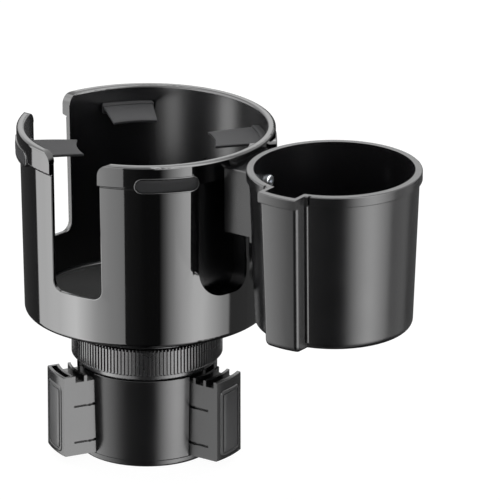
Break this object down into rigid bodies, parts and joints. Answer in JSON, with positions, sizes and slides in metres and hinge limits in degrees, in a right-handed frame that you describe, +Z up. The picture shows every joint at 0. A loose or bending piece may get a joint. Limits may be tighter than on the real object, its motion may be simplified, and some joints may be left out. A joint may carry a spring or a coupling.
{
  "type": "car cup holder",
  "caption": "Car cup holder with an expanding base that grips a console well, a large cup with rubber grip tabs and handle slots, and a hooked-on second cup.",
  "frame": {"origin": "centre of the base's underside, on the large cup's axis", "axes": "+Z up along the large cup's axis, +X from the large cup to the second cup"},
  "size_m": [0.2023, 0.1177, 0.1565],
  "materials": {
    "gloss_shell": "polished black ABS",
    "satin_shell": "satin black ABS",
    "base_plastic": "satin moulded black ABS",
    "ring_plastic": "ribbed moulded black plastic",
    "mat_rubber": "fine grained soft mat",
    "tab_rubber": "smooth black silicone",
    "pad_rubber": "smooth dark rubber",
    "screw_steel": "zinc plated steel"
  },
  "bodies": {
    "root": {"base_plate": "base_plastic", "base_body": "base_plastic", "plate_screws": "screw_steel", "cup_socket": "base_plastic", "centre_bolt": "screw_steel", "bolt_washer": "screw_steel", "main_cup": "gloss_shell", "floor_screws": "screw_steel", "main_mat": "mat_rubber", "second_cup": "satin_shell", "second_mat": "mat_rubber", "bracket": "satin_shell", "bracket_screws": "screw_steel", "grip_tab_front_right": "tab_rubber", "grip_tab_back_right": "tab_rubber", "grip_tab_back_left": "tab_rubber", "grip_tab_front_left": "tab_rubber"},
    "ring": {"scroll_ring": "ring_plastic"},
    "jaw_a_body": {"jaw_a": "base_plastic", "jaw_pad_a": "pad_rubber"},
    "jaw_b_body": {"jaw_b": "base_plastic", "jaw_pad_b": "pad_rubber"},
    "jaw_c_body": {"jaw_c": "base_plastic", "jaw_pad_c": "pad_rubber"}
  },
  "joints": [
    {"name": "ring_turn", "type": "hinge", "parent": "root", "child": "ring", "pos_m": [0, 0, 0.045], "axis": [0, 0, 1], "range_deg": [-780, 145]},
    {"name": "jaw_a_slide", "type": "slide", "parent": "root", "child": "jaw_a_body", "axis": [1, 0, 0], "range_m": [-0.0122, 0.0023]},
    {"name": "jaw_b_slide", "type": "slide", "parent": "root", "child": "jaw_b_body", "axis": [-0.5, -0.866, 0], "range_m": [-0.0122, 0.0023]},
    {"name": "jaw_c_slide", "type": "slide", "parent": "root", "child": "jaw_c_body", "axis": [-0.5, 0.866, 0], "range_m": [-0.0122, 0.0023]}
  ],
  "couplings": [
    {"joint": "jaw_a_slide", "follows": "ring_turn", "m_per_rad": 0.00089127},
    {"joint": "jaw_b_slide", "follows": "ring_turn", "m_per_rad": 0.00089127},
    {"joint": "jaw_c_slide", "follows": "ring_turn", "m_per_rad": 0.00089127}
  ]
}
